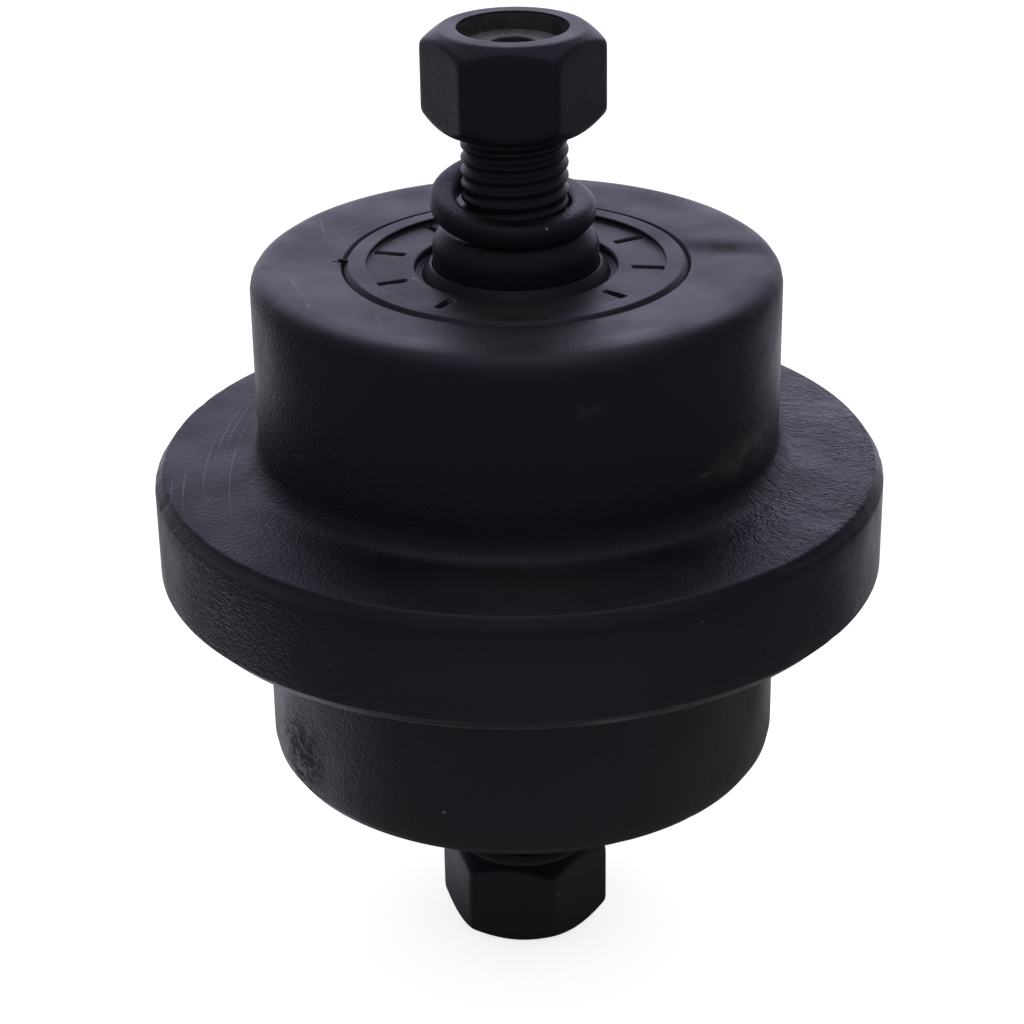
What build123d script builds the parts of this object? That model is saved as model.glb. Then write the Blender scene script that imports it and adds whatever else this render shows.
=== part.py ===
from build123d import *
import math
import os

os.makedirs("parts", exist_ok=True)

# Track bottom roller for a mini excavator's undercarriage: a flanged steel roller on a fixed shaft.
# The origin is the centre of the flange, on the shaft's axis, and +Z runs up the shaft.
# Lengths are in millimetres and angles in degrees.

# Roller shell, turned from one forging
tread_diameter = 80.0
roller_width = 81.6
upper_edge_radius = 3.0
lower_edge_radius = 4.2
flange_diameter = 112.4
flange_rim_width = 18.4
flange_taper = 6.0
flange_top_chamfer_radial = 1.4
flange_top_chamfer_axial = 2.1
flange_bottom_chamfer = 2.3
root_fillet = 3.0
bore_mouth_chamfer = 0.3
end_face_dish = 0.3
end_face_land = 5.0
middle_bore_diameter = 44.0

# Ball bearings, a standard size with nine balls
bearing_bore = 25.0
bearing_diameter = 52.0
bearing_width = 15.0
bearing_corner = 1.0
ball_share = 0.294
ball_count = 9
land_share = 0.26
ball_clearance = 0.1

# Pressed cages, two halves riveted together
cage_land_gap = 0.55
cage_sheet = 0.8
pocket_clearance = 0.25
rivet_diameter = 1.5
rivet_head_diameter = 2.2
rivet_head_height = 0.6
rivet_clearance = 0.05

# Shaft seals, moulded rubber
seal_width = 7.0
seal_rim_chamfer = 0.7
seal_edge_chamfer = 0.4
seal_heel_chamfer = 0.6
seal_rim_width = 3.5
seal_heel_width = 2.6
seal_recess = 0.75
seal_lip_rise = 0.55
seal_web = 1.8
seal_groove_width = 2.8
seal_lip_thickness = 0.8
seal_head_width = 2.0
seal_slot_length = 4.8
seal_slot_width = 1.1
seal_slot_depth = 1.0
seal_slots_in_group = 4
seal_slot_pitch = 36.0
seal_slot_groups = (11.0, 183.0)
seal_lip_clearance = 0.06
garter_wire_diameter = 1.4
garter_clearance = 0.1

# Internal circlips
circlip_thickness = 2.0
circlip_groove_diameter = 55.0
circlip_groove_play = 0.15
circlip_radial_play = 0.1
circlip_width = 4.0
circlip_offset = 0.8
circlip_gap_angle = 36.0
circlip_ear_length = 7.0
circlip_ear_width = 5.0
circlip_hole_diameter = 2.5
circlip_seal_gap = 0.8

# Shaft
collar_diameter = 30.0
shoulder_reach = 5.5
shoulder_chamfer_radial = 1.5
shoulder_chamfer_axial = 2.2
stud_diameter = 16.0
stud_length = 27.8
stud_chamfer = 0.9
centre_mouth_diameter = 7.0
centre_pilot_diameter = 3.15
centre_pilot_depth = 3.0
centre_angle = 60.0

# Nuts, run out near the ends of the studs
nut_across_flats = 24.0
nut_height = 14.8
nut_face_diameter = 22.0
nut_bevel_angle = 30.0
nut_corner_radius = 0.8
nut_countersink_diameter = 17.8
nut_countersink_depth = 2.6
thread_clearance = 0.05
upper_nut_overhang = 2.4
lower_nut_overhang = 0.4
upper_nut_turn = -2.3
lower_nut_turn = -10.6

# Spring lock washers, one on the upper shoulder and one on the lower nut
washer_bore_diameter = 16.8
washer_section_width = 3.9
washer_thickness = 3.8
washer_edge_radius = 0.9
washer_rise = 4.3
washer_sweep = 342.0
washer_lift = 0.12
washer_shift = 0.35
upper_washer_start = 112.0
lower_washer_start = 210.0

# Gap between pieces that are pressed or clamped together
seat_gap = 0.02

# Radii and heights that follow from the sizes above
half_width = roller_width / 2
tread_radius = tread_diameter / 2
flange_radius = flange_diameter / 2
rim_height = flange_rim_width / 2
top_edge_radius = flange_radius - flange_top_chamfer_radial
bottom_edge_radius = flange_radius - flange_bottom_chamfer
taper_rise = math.tan(math.radians(flange_taper))
upper_root_height = rim_height + (top_edge_radius - tread_radius) * taper_rise
lower_root_height = rim_height + (bottom_edge_radius - tread_radius) * taper_rise
seat_radius = bearing_bore / 2
bore_radius = bearing_diameter / 2
collar_radius = collar_diameter / 2
stud_radius = stud_diameter / 2
pitch_radius = (bearing_bore + bearing_diameter) / 4
ball_diameter = ball_share * (bearing_diameter - bearing_bore)
ball_radius = ball_diameter / 2
inner_land_radius = pitch_radius - land_share * ball_diameter
outer_land_radius = pitch_radius + land_share * ball_diameter
mouth_height = half_width - end_face_dish
seal_face = half_width
seal_back = seal_face - seal_width
circlip_face = seal_back - circlip_seal_gap
bearing_face = circlip_face - circlip_thickness
bearing_centre = bearing_face - bearing_width / 2
bearing_back = bearing_face - bearing_width
shoulder_height = half_width + shoulder_reach
stud_height = shoulder_height + stud_length
washer_radius = (washer_bore_diameter + washer_section_width) / 2


def half_section(side):
    """Section through the axis: x is the radius, y the distance from the flange towards one end."""
    return Plane(origin=(0, 0, 0), x_dir=(1, 0, 0), z_dir=(0, -side, 0))


def cross_section(side, height):
    """Plane square to the axis at a height from the flange, facing one end."""
    return Plane(origin=(0, 0, side * height), x_dir=(1, 0, 0), z_dir=(0, 0, side))


def tread_circles(turned):
    """Round edges as wide as the treads, from the lowest to the highest."""
    circles = turned.edges().filter_by(GeomType.CIRCLE)
    return circles.filter_by(lambda edge: abs(edge.radius - tread_radius) < 0.001).sort_by(Axis.Z)


ends = (("upper", 1), ("lower", -1))

# Roller shell: treads and guide flange in one outline, then the stepped bore from each end
with BuildPart() as roller_shell:
    with BuildSketch(Plane.XZ):
        with BuildLine():
            Polyline(
                (0, mouth_height),
                (bore_radius, mouth_height),
                (tread_radius - end_face_land, half_width),
                (tread_radius, half_width),
                (tread_radius, upper_root_height),
                (top_edge_radius, rim_height),
                (flange_radius, rim_height - flange_top_chamfer_axial),
                (flange_radius, flange_bottom_chamfer - rim_height),
                (bottom_edge_radius, -rim_height),
                (tread_radius, -lower_root_height),
                (tread_radius, -half_width),
                (tread_radius - end_face_land, -half_width),
                (bore_radius, -mouth_height),
                (0, -mouth_height),
                close=True,
            )
        make_face()
    revolve(axis=Axis.Z)
    fillet(tread_circles(roller_shell)[1:-1], root_fillet)
    fillet(tread_circles(roller_shell)[-1], upper_edge_radius)
    fillet(tread_circles(roller_shell)[0], lower_edge_radius)
    Hole(middle_bore_diameter / 2)
    for end, side in ends:
        with BuildSketch(half_section(side)):
            with BuildLine():
                Polyline(
                    (0, bearing_back),
                    (bore_radius, bearing_back),
                    (bore_radius, bearing_face),
                    (circlip_groove_diameter / 2, bearing_face),
                    (circlip_groove_diameter / 2, circlip_face + circlip_groove_play),
                    (bore_radius, circlip_face + circlip_groove_play),
                    (bore_radius, mouth_height - bore_mouth_chamfer),
                    (bore_radius + 2 * bore_mouth_chamfer, mouth_height + bore_mouth_chamfer),
                    (0, mouth_height + bore_mouth_chamfer),
                    close=True,
                )
            make_face()
        revolve(axis=Axis.Z, mode=Mode.SUBTRACT)
roller_shell.part.label = "roller_shell"
export_step(roller_shell.part, "parts/roller_shell.step")

# Shaft: collar between the bearings, a ground seat, the shoulder and the stud with its centre hole
centre_cone_width = (centre_mouth_diameter - centre_pilot_diameter) / 2
centre_cone_depth = centre_cone_width / math.tan(math.radians(centre_angle / 2))
with BuildPart() as roller_shaft:
    with BuildSketch(Plane.XZ):
        with BuildLine():
            Polyline(
                (0, 0),
                (collar_radius, 0),
                (collar_radius, bearing_back),
                (seat_radius, bearing_back),
                (seat_radius, shoulder_height - shoulder_chamfer_axial),
                (seat_radius - shoulder_chamfer_radial, shoulder_height),
                (stud_radius, shoulder_height),
                (stud_radius, stud_height - stud_chamfer),
                (stud_radius - stud_chamfer, stud_height),
                (centre_mouth_diameter / 2, stud_height),
                (centre_pilot_diameter / 2, stud_height - centre_cone_depth),
                (centre_pilot_diameter / 2, stud_height - centre_cone_depth - centre_pilot_depth),
                (0, stud_height - centre_cone_depth - centre_pilot_depth),
                close=True,
            )
        make_face()
    revolve(axis=Axis.Z)
    mirror(about=Plane.XY)
roller_shaft.part.label = "roller_shaft"
export_step(roller_shaft.part, "parts/roller_shaft.step")

# Shaft seals: rim, recessed web, dust lip outside and sprung lip inside, in one rubber section
seal_radius = bore_radius - seat_gap
seal_rim_radius = bore_radius - seal_rim_width
seal_heel_radius = bore_radius - seal_heel_width
seal_floor = seal_face - seal_recess
seal_web_back = seal_floor - seal_web
lip_radius = seat_radius + seal_lip_clearance
groove_radius = seat_radius + seal_groove_width
head_radius = lip_radius + seal_head_width
garter_radius = head_radius + garter_clearance / 2 + garter_wire_diameter / 4
garter_height = seal_back + garter_wire_diameter
seat_arc_radius = garter_wire_diameter / 2 + garter_clearance
seat_arc_reach = math.sqrt(seat_arc_radius**2 - (garter_radius - head_radius) ** 2)
for end, side in ends:
    with BuildPart() as seal:
        with BuildSketch(half_section(side)):
            with BuildLine():
                Polyline(
                    (head_radius, garter_height - seat_arc_reach),
                    (head_radius, seal_back + seal_edge_chamfer / 2),
                    (head_radius - seal_head_width / 3, seal_back + seal_edge_chamfer / 2),
                    (lip_radius, garter_height + seal_edge_chamfer),
                    (lip_radius + seal_lip_thickness, seal_web_back - seal_edge_chamfer),
                    (lip_radius, seal_floor + seal_lip_rise),
                    (lip_radius + seal_lip_thickness / 2, seal_floor + seal_lip_rise),
                    (lip_radius + 2 * seal_lip_thickness, seal_web_back + seal_edge_chamfer),
                    (groove_radius, seal_web_back + seal_edge_chamfer),
                    (groove_radius, seal_floor),
                    (seal_rim_radius, seal_floor),
                    (seal_rim_radius, seal_face),
                    (seal_radius - seal_rim_chamfer, seal_face),
                    (seal_radius, seal_face - seal_rim_chamfer),
                    (seal_radius, seal_back + seal_heel_chamfer),
                    (seal_radius - seal_heel_chamfer, seal_back),
                    (seal_heel_radius, seal_back),
                    (seal_heel_radius, seal_web_back),
                    (groove_radius, seal_web_back),
                    (head_radius, garter_height + 2 * garter_wire_diameter),
                    (head_radius, garter_height + seat_arc_reach),
                )
                ThreePointArc(
                    (head_radius, garter_height + seat_arc_reach),
                    (garter_radius - seat_arc_radius, garter_height),
                    (head_radius, garter_height - seat_arc_reach),
                )
            make_face()
        revolve(axis=Axis.Z)
        slot_middle = seal_rim_radius - seal_slot_width / 4 - seal_slot_length / 2
        for group_middle in seal_slot_groups:
            spread = (seal_slots_in_group - 1) * seal_slot_pitch
            with BuildSketch(cross_section(side, seal_floor)):
                with PolarLocations(
                    slot_middle,
                    seal_slots_in_group,
                    start_angle=group_middle - spread / 2,
                    angular_range=spread,
                    endpoint=True,
                ):
                    Rectangle(seal_slot_length, seal_slot_width)
            extrude(amount=-seal_slot_depth, mode=Mode.SUBTRACT)
    seal.part.label = f"{end}_seal"
    export_step(seal.part, f"parts/{end}_seal.step")

    # Garter spring: its closely wound coil has the outside of a plain ring
    with BuildPart() as garter_spring:
        with BuildSketch(half_section(side)):
            with Locations((garter_radius, garter_height)):
                Circle(garter_wire_diameter / 2)
        revolve(axis=Axis.Z)
    garter_spring.part.label = f"{end}_garter_spring"
    export_step(garter_spring.part, f"parts/{end}_garter_spring.step")

# Circlips: an open ring, thinner towards its gap, with two drilled ears
circlip_radius = circlip_groove_diameter / 2 - circlip_radial_play
ear_radius = circlip_radius - circlip_width - circlip_ear_length / 2 + circlip_offset
ear_angle = circlip_gap_angle / 2 + math.degrees(circlip_ear_width / 2 / ear_radius)
ear_middle_radius = ear_radius + circlip_ear_length / 4
gap_half = math.radians(circlip_gap_angle / 2)
gap_reach = 2 * circlip_radius
gap_corner = (gap_reach * math.cos(gap_half), gap_reach * math.sin(gap_half))
for end, side in ends:
    with BuildPart() as circlip:
        with BuildSketch(cross_section(side, bearing_face)):
            Circle(circlip_radius)
            with Locations((circlip_offset, 0)):
                Circle(circlip_radius - circlip_width, mode=Mode.SUBTRACT)
            with PolarLocations(ear_middle_radius, 2, -ear_angle, 2 * ear_angle, endpoint=True):
                Rectangle(circlip_ear_length, circlip_ear_width)
            with BuildLine():
                Polyline((0, 0), (gap_corner[0], -gap_corner[1]), gap_corner, close=True)
            make_face(mode=Mode.SUBTRACT)
            with PolarLocations(ear_radius, 2, -ear_angle, 2 * ear_angle, endpoint=True):
                Circle(circlip_hole_diameter / 2, mode=Mode.SUBTRACT)
        extrude(amount=circlip_thickness)
    circlip.part.label = f"{end}_circlip"
    export_step(circlip.part, f"parts/{end}_circlip.step")

# Bearing races: a turned ring each, with the ball groove cut by the pitch circle
groove_form_radius = ball_radius + ball_clearance
races = (
    ("inner_race", seat_radius + seat_gap, inner_land_radius, 0),
    ("outer_race", outer_land_radius, bore_radius - seat_gap, -1),
)
for end, side in ends:
    for race_name, inner_radius, outer_radius, fitted_side in races:
        with BuildPart() as race:
            with BuildSketch(half_section(side)) as race_section:
                with Locations(((inner_radius + outer_radius) / 2, bearing_centre)):
                    Rectangle(outer_radius - inner_radius, bearing_width)
                chamfer(race_section.vertices().group_by(Axis.X)[fitted_side], bearing_corner)
                with Locations((pitch_radius, bearing_centre)):
                    Circle(groove_form_radius, mode=Mode.SUBTRACT)
            revolve(axis=Axis.Z)
        race.part.label = f"{end}_{race_name}"
        export_step(race.part, f"parts/{end}_{race_name}.step")

# Balls, evenly spaced on the pitch circle
for end, side in ends:
    for number in range(ball_count):
        angle = math.radians(number * 360 / ball_count)
        ball_x = pitch_radius * math.cos(angle)
        ball_y = pitch_radius * math.sin(angle)
        with BuildPart() as ball:
            with Locations((ball_x, ball_y, side * bearing_centre)):
                Sphere(ball_radius)
        ball.part.label = f"{end}_ball_{number + 1}"
        export_step(ball.part, f"parts/{end}_ball_{number + 1}.step")

# Cage halves: a flat ring of sheet with a rounded pocket over each ball and a rivet hole between them
pocket_radius = ball_radius + pocket_clearance
bulge_radius = pocket_radius + cage_sheet
cage_inner_radius = inner_land_radius + cage_land_gap
cage_outer_radius = outer_land_radius - cage_land_gap
pocket_length = 2 * (cage_outer_radius - cage_inner_radius)
half_pitch_angle = 180 / ball_count
rivet_hole_radius = rivet_diameter / 2 + rivet_clearance
for end, side in ends:
    for half_name, facing in (("cage_outer", side), ("cage_inner", -side)):
        cage_plane = Plane(origin=(0, 0, side * bearing_centre), x_dir=(1, 0, 0), z_dir=(0, 0, facing))
        with BuildPart(cage_plane) as cage:
            with BuildSketch(cage_plane):
                Circle(cage_outer_radius)
            extrude(amount=cage_sheet)
            with PolarLocations(pitch_radius, ball_count):
                Cylinder(bulge_radius, pocket_length, rotation=(0, 90, 0))
            with BuildSketch(cage_plane):
                Circle(cage_outer_radius)
                Circle(cage_inner_radius, mode=Mode.SUBTRACT)
            extrude(amount=bulge_radius + cage_sheet, mode=Mode.INTERSECT)
            with PolarLocations(pitch_radius, ball_count):
                Cylinder(pocket_radius, pocket_length, rotation=(0, 90, 0), mode=Mode.SUBTRACT)
            with PolarLocations(pitch_radius, ball_count, start_angle=half_pitch_angle):
                Hole(rivet_hole_radius)
        cage.part.label = f"{end}_{half_name}"
        export_step(cage.part, f"parts/{end}_{half_name}.step")

    # Rivets: a shank through both sheets with a head on each side
    head_height = cage_sheet + rivet_head_height / 2
    with BuildPart(cross_section(side, bearing_centre)) as rivets:
        with PolarLocations(pitch_radius, ball_count, start_angle=half_pitch_angle):
            Cylinder(rivet_diameter / 2, 2 * cage_sheet)
            with Locations((0, 0, head_height), (0, 0, -head_height)):
                Cylinder(rivet_head_diameter / 2, rivet_head_height)
    rivets.part.label = f"{end}_cage_rivets"
    export_step(rivets.part, f"parts/{end}_cage_rivets.step")

# Nuts: a hexagon bevelled at both ends by a turned outline, then bored and countersunk
nut_bore_radius = stud_radius + thread_clearance
nut_corner_reach = nut_across_flats / math.sqrt(3)
bevel_drop = (nut_corner_reach - nut_face_diameter / 2) * math.tan(math.radians(nut_bevel_angle))
upper_nut_base = stud_height + upper_nut_overhang - nut_height
lower_nut_base = -stud_height - lower_nut_overhang
for end, base, turn in (
    ("upper", upper_nut_base, upper_nut_turn),
    ("lower", lower_nut_base, lower_nut_turn),
):
    top = base + nut_height
    with BuildPart() as nut:
        with BuildSketch(Plane.XY.offset(base)):
            RegularPolygon(nut_across_flats / 2, 6, major_radius=False, rotation=turn)
        extrude(amount=nut_height)
        fillet(nut.edges().filter_by(Axis.Z), nut_corner_radius)
        with BuildSketch(Plane.XZ):
            with BuildLine():
                Polyline(
                    (0, base),
                    (nut_face_diameter / 2, base),
                    (nut_corner_reach, base + bevel_drop),
                    (nut_corner_reach, top - bevel_drop),
                    (nut_face_diameter / 2, top),
                    (0, top),
                    close=True,
                )
            make_face()
        revolve(axis=Axis.Z, mode=Mode.INTERSECT)
        with BuildSketch(Plane.XZ):
            with BuildLine():
                Polyline(
                    (0, base),
                    (nut_countersink_diameter / 2, base),
                    (nut_bore_radius, base + nut_countersink_depth),
                    (nut_bore_radius, top - nut_countersink_depth),
                    (nut_countersink_diameter / 2, top),
                    (0, top),
                    close=True,
                )
            make_face()
        revolve(axis=Axis.Z, mode=Mode.SUBTRACT)
    nut.part.label = f"{end}_nut"
    export_step(nut.part, f"parts/{end}_nut.step")

# Spring washers: a rounded bar coiled almost one turn, left-handed, tipped as it lies on its seat.
# Such a coil rests on its low end and on the point half a turn on, so its axis leans by a known slope.
lower_nut_top = lower_nut_base + nut_height
for end, seat_height, start in (
    ("upper", shoulder_height, upper_washer_start),
    ("lower", lower_nut_top, lower_washer_start),
):
    start_angle = math.radians(start)
    end_angle = math.radians(start - washer_sweep)
    low_end = Vector(math.cos(start_angle), math.sin(start_angle), 0)
    quarter_on = Vector(math.sin(start_angle), -math.cos(start_angle), 0)
    raised_end = Vector(math.cos(end_angle), math.sin(end_angle), 0)
    lean = (low_end * (washer_rise / 4) + quarter_on * (washer_rise / (2 * math.pi))) * (-1 / washer_radius)
    lying = Plane(
        origin=raised_end * washer_shift + Vector(0, 0, seat_height + washer_lift - washer_rise / 4),
        x_dir=low_end,
        z_dir=lean + Vector(0, 0, 1),
    )
    with BuildPart() as spring_washer:
        with BuildLine(Plane.XY.offset(washer_thickness / 2)) as coil:
            Helix(washer_rise, washer_rise * washer_sweep / 360, washer_radius, lefthand=True)
        with BuildSketch(Plane(origin=coil.line @ 0, x_dir=(1, 0, 0), z_dir=coil.line % 0)):
            RectangleRounded(washer_section_width, washer_thickness, washer_edge_radius)
        sweep(path=coil.line, is_frenet=True)
    tipped_washer = lying.location * spring_washer.part
    tipped_washer.label = f"{end}_spring_washer"
    export_step(tipped_washer, f"parts/{end}_spring_washer.step")
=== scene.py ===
import math

import bpy
import numpy as np
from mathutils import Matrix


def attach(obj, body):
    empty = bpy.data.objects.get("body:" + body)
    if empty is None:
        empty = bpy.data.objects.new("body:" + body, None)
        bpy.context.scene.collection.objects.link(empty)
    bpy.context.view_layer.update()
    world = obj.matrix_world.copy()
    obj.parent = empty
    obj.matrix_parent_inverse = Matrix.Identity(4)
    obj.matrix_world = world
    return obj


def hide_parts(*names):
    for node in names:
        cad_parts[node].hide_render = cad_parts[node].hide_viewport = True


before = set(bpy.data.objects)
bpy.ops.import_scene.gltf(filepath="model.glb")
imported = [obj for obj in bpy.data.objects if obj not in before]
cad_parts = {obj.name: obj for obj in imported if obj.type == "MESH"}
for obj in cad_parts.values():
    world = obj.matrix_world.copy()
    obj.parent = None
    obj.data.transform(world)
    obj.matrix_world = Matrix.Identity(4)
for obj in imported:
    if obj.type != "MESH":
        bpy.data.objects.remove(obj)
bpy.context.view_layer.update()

# Camera: the viewer stands in front, at -Y, and looks down at the roller, which fills the square picture.
# The head is tipped by less than a degree, as the roller leans in the picture.
mm = 0.001
viewing_distance = 429.267 * mm
viewing_height = math.radians(25.82)
head_tip = math.radians(-0.908)
looked_at = np.array([-1.202, 0.0, -1.349]) * mm
lens_length = 96.33
film_width = 36.0

towards_viewer = np.array([0.0, -math.cos(viewing_height), math.sin(viewing_height)])
level_right = np.array([1.0, 0.0, 0.0])
level_up = np.array([0.0, math.sin(viewing_height), math.cos(viewing_height)])
picture_right = level_right * math.cos(head_tip) + level_up * math.sin(head_tip)
picture_up = level_up * math.cos(head_tip) - level_right * math.sin(head_tip)
placing = np.eye(4)
placing[:3, 0] = picture_right
placing[:3, 1] = picture_up
placing[:3, 2] = towards_viewer
placing[:3, 3] = looked_at + towards_viewer * viewing_distance

viewer = bpy.data.cameras.new("viewer")
viewer.lens = lens_length
viewer.sensor_width = film_width
viewer.sensor_fit = "HORIZONTAL"
viewer.clip_start = 0.01
viewer_object = bpy.data.objects.new("viewer", viewer)
bpy.context.scene.collection.objects.link(viewer_object)
viewer_object.matrix_world = placing.T.tolist()
bpy.context.scene.camera = viewer_object
bpy.context.scene.view_settings.view_transform = "Standard"

# Roller shell: one steel forging, turned on its two treads, its guide flange and its end faces.
# Its edges are broken by a file and worn a little, and a chisel nick beside the upper bore stakes the seal.
tread_radius = 40.0 * mm
half_width = 40.8 * mm
upper_edge = 3.0 * mm
lower_edge = 4.2 * mm
flange_radius = 56.2 * mm
rim_half = 9.2 * mm
flange_taper = math.tan(math.radians(6.0))
top_chamfer = (1.4 * mm, 2.1 * mm)
bottom_chamfer = 2.3 * mm
root_fillet = 3.0 * mm
bore_radius = 26.0 * mm
mouth_radius = 26.31 * mm
mouth_chamfer = 0.45 * mm
face_dish = 0.3 * mm
face_land = 5.0 * mm
mouth_height = half_width - face_dish
face_rounding = 3.0 * mm
rim_top_roundings = (0.8 * mm, 1.3 * mm)
rim_bottom_rounding = 0.4 * mm
mouth_rounding = 0.12 * mm
mouth_chamfer_rounding = 0.15 * mm
groove_rounding = 0.1 * mm
bearing_seat_rounding = 0.2 * mm
middle_bore_rounding = 0.3 * mm
circlip_groove_radius = 27.5 * mm
circlip_groove = (31.0 * mm, 33.15 * mm)
bearing_shoulder = 16.0 * mm
middle_bore_radius = 22.0 * mm
upper_root = rim_half + (flange_radius - top_chamfer[0] - tread_radius) * flange_taper
lower_root = rim_half + (flange_radius - bottom_chamfer - tread_radius) * flange_taper


def turned_outline(corners, longest_run, arc_steps=5):
    """Closed outline from (radius, height, rounding) rows. Each corner is replaced by the arc of its rounding
    that is tangent to both its sides, and the straight runs between arcs are cut into equal short steps."""
    places = np.array([corner[:2] for corner in corners])
    pieces = []
    for index, (radius, height, rounding) in enumerate(corners):
        here = places[index]
        before = places[index - 1] - here
        after = places[(index + 1) % len(corners)] - here
        before = before / np.linalg.norm(before)
        after = after / np.linalg.norm(after)
        half_angle = math.acos(np.clip(before @ after, -1, 1)) / 2
        reach = rounding / math.tan(half_angle)
        middle = (before + after) / np.linalg.norm(before + after) * rounding / math.sin(half_angle)
        start = before * reach - middle
        end = after * reach - middle
        turn = math.pi - 2 * half_angle
        share = np.linspace(0, 1, arc_steps)[:, None]
        arc = (np.sin((1 - share) * turn) * start + np.sin(share * turn) * end) / math.sin(turn)
        pieces.append(here + middle + arc)
    outline = []
    for index, arc in enumerate(pieces):
        following = pieces[(index + 1) % len(pieces)][0]
        steps = max(1, math.ceil(np.linalg.norm(following - arc[-1]) / longest_run))
        outline.append(arc)
        outline.append(arc[-1] + (following - arc[-1]) * (np.arange(1, steps) / steps)[:, None])
    return np.concatenate(outline)


def outline_normals(outline):
    """Unit normals of a closed outline, square to the line between each point's two neighbours, outwards."""
    along = np.roll(outline, -1, axis=0) - np.roll(outline, 1, axis=0)
    normals = np.stack([along[:, 1], -along[:, 0]], axis=1)
    normals /= np.linalg.norm(normals, axis=1)[:, None]
    area = np.sum(outline[:, 0] * np.roll(outline[:, 1], -1) - np.roll(outline[:, 0], -1) * outline[:, 1])
    return normals * np.sign(area)


def woven_mesh(name, grid, round_rows=True, round_columns=True, ends_capped=False):
    """Mesh of quads between neighbours on a grid of points, joined end to end where it goes round.
    The quads are turned so that the enclosed volume is positive, which makes them face outwards."""
    rows, columns = grid.shape[:2]
    numbers = np.arange(rows * columns).reshape(rows, columns)
    ahead = np.roll(numbers, -1, axis=0) if round_rows else numbers[1:]
    here = numbers if round_rows else numbers[:-1]
    quads = np.stack([here, np.roll(here, -1, axis=1), np.roll(ahead, -1, axis=1), ahead], axis=-1)
    if not round_columns:
        quads = quads[:, :-1]
    faces = quads.reshape(-1, 4)
    points = grid.reshape(-1, 3)
    corners = points[faces]
    volume = np.sum(corners[:, 0] * np.cross(corners[:, 1], corners[:, 2]))
    volume += np.sum(corners[:, 0] * np.cross(corners[:, 2], corners[:, 3]))
    if volume < 0:
        faces = faces[:, ::-1]
    face_list = faces.tolist()
    if ends_capped:
        first, last = numbers[0].tolist(), numbers[-1].tolist()
        face_list.append(first[::-1] if volume >= 0 else first)
        face_list.append(last if volume >= 0 else last[::-1])
    mesh = bpy.data.meshes.new(name)
    mesh.from_pydata(points.tolist(), [], face_list)
    mesh.polygons.foreach_set("use_smooth", np.ones(len(face_list), bool))
    piece = bpy.data.objects.new(name, mesh)
    bpy.context.scene.collection.objects.link(piece)
    return piece


def smooth_step(value, low, high):
    """0 below low, 1 above high, and an even S-curve between them."""
    share = np.clip((value - low) / (high - low), 0, 1)
    return share * share * (3 - 2 * share)


def spun_grid(outline, columns, sunk=0.0):
    """Surface of revolution: row i is an outline point and column j an angle, each sunk by a depth
    along the outline's normal, so x = r cos a, y = r sin a and z = h."""
    angle = np.arange(columns) * (2 * math.pi / columns)
    normals = outline_normals(outline)
    radius = outline[:, :1] - normals[:, :1] * sunk
    height = outline[:, 1:] - normals[:, 1:] * sunk
    radius, height, angle = np.broadcast_arrays(radius, height, angle)
    return np.stack([radius * np.cos(angle), radius * np.sin(angle), height], axis=-1)


shell_outline = turned_outline(
    [
        (mouth_radius, mouth_height, mouth_rounding),
        (tread_radius - face_land, half_width, face_rounding),
        (tread_radius, half_width, upper_edge),
        (tread_radius, upper_root, root_fillet),
        (flange_radius - top_chamfer[0], rim_half, rim_top_roundings[0]),
        (flange_radius, rim_half - top_chamfer[1], rim_top_roundings[1]),
        (flange_radius, bottom_chamfer - rim_half, rim_bottom_rounding),
        (flange_radius - bottom_chamfer, -rim_half, rim_bottom_rounding),
        (tread_radius, -lower_root, root_fillet),
        (tread_radius, -half_width, lower_edge),
        (tread_radius - face_land, -half_width, face_rounding),
        (mouth_radius, -mouth_height, mouth_rounding),
        (bore_radius, mouth_chamfer - mouth_height, mouth_chamfer_rounding),
        (bore_radius, -circlip_groove[1], groove_rounding),
        (circlip_groove_radius, -circlip_groove[1], groove_rounding),
        (circlip_groove_radius, -circlip_groove[0], groove_rounding),
        (bore_radius, -circlip_groove[0], groove_rounding),
        (bore_radius, -bearing_shoulder, bearing_seat_rounding),
        (middle_bore_radius, -bearing_shoulder, middle_bore_rounding),
        (middle_bore_radius, bearing_shoulder, middle_bore_rounding),
        (bore_radius, bearing_shoulder, bearing_seat_rounding),
        (bore_radius, circlip_groove[0], groove_rounding),
        (circlip_groove_radius, circlip_groove[0], groove_rounding),
        (circlip_groove_radius, circlip_groove[1], groove_rounding),
        (bore_radius, circlip_groove[1], groove_rounding),
        (bore_radius, mouth_height - mouth_chamfer, mouth_chamfer_rounding),
    ],
    longest_run=2.4 * mm,
    arc_steps=5,
)
shell_columns = 600
shell_angle = np.arange(shell_columns) * (2 * math.pi / shell_columns)
shell_radius = shell_outline[:, :1]
shell_height = shell_outline[:, 1:]


def struck_marks(count, seed, radii, heights, widths, depths, angles=(-math.pi, math.pi)):
    """Small dents: each is a bell-shaped hollow at a random place between the given limits, and they add up."""
    draw = np.random.default_rng(seed)
    total = np.zeros((len(shell_outline), shell_columns))
    for number in range(count):
        radius = draw.uniform(*radii)
        height = draw.uniform(*heights)
        angle = draw.uniform(*angles)
        width = draw.uniform(*widths)
        depth = draw.uniform(*depths)
        turned = (shell_angle - angle + math.pi) % (2 * math.pi) - math.pi
        off = (shell_radius - radius) ** 2 + (shell_height - height) ** 2 + (shell_radius * turned) ** 2
        total += depth * np.exp(-off / width**2)
    return total


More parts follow.
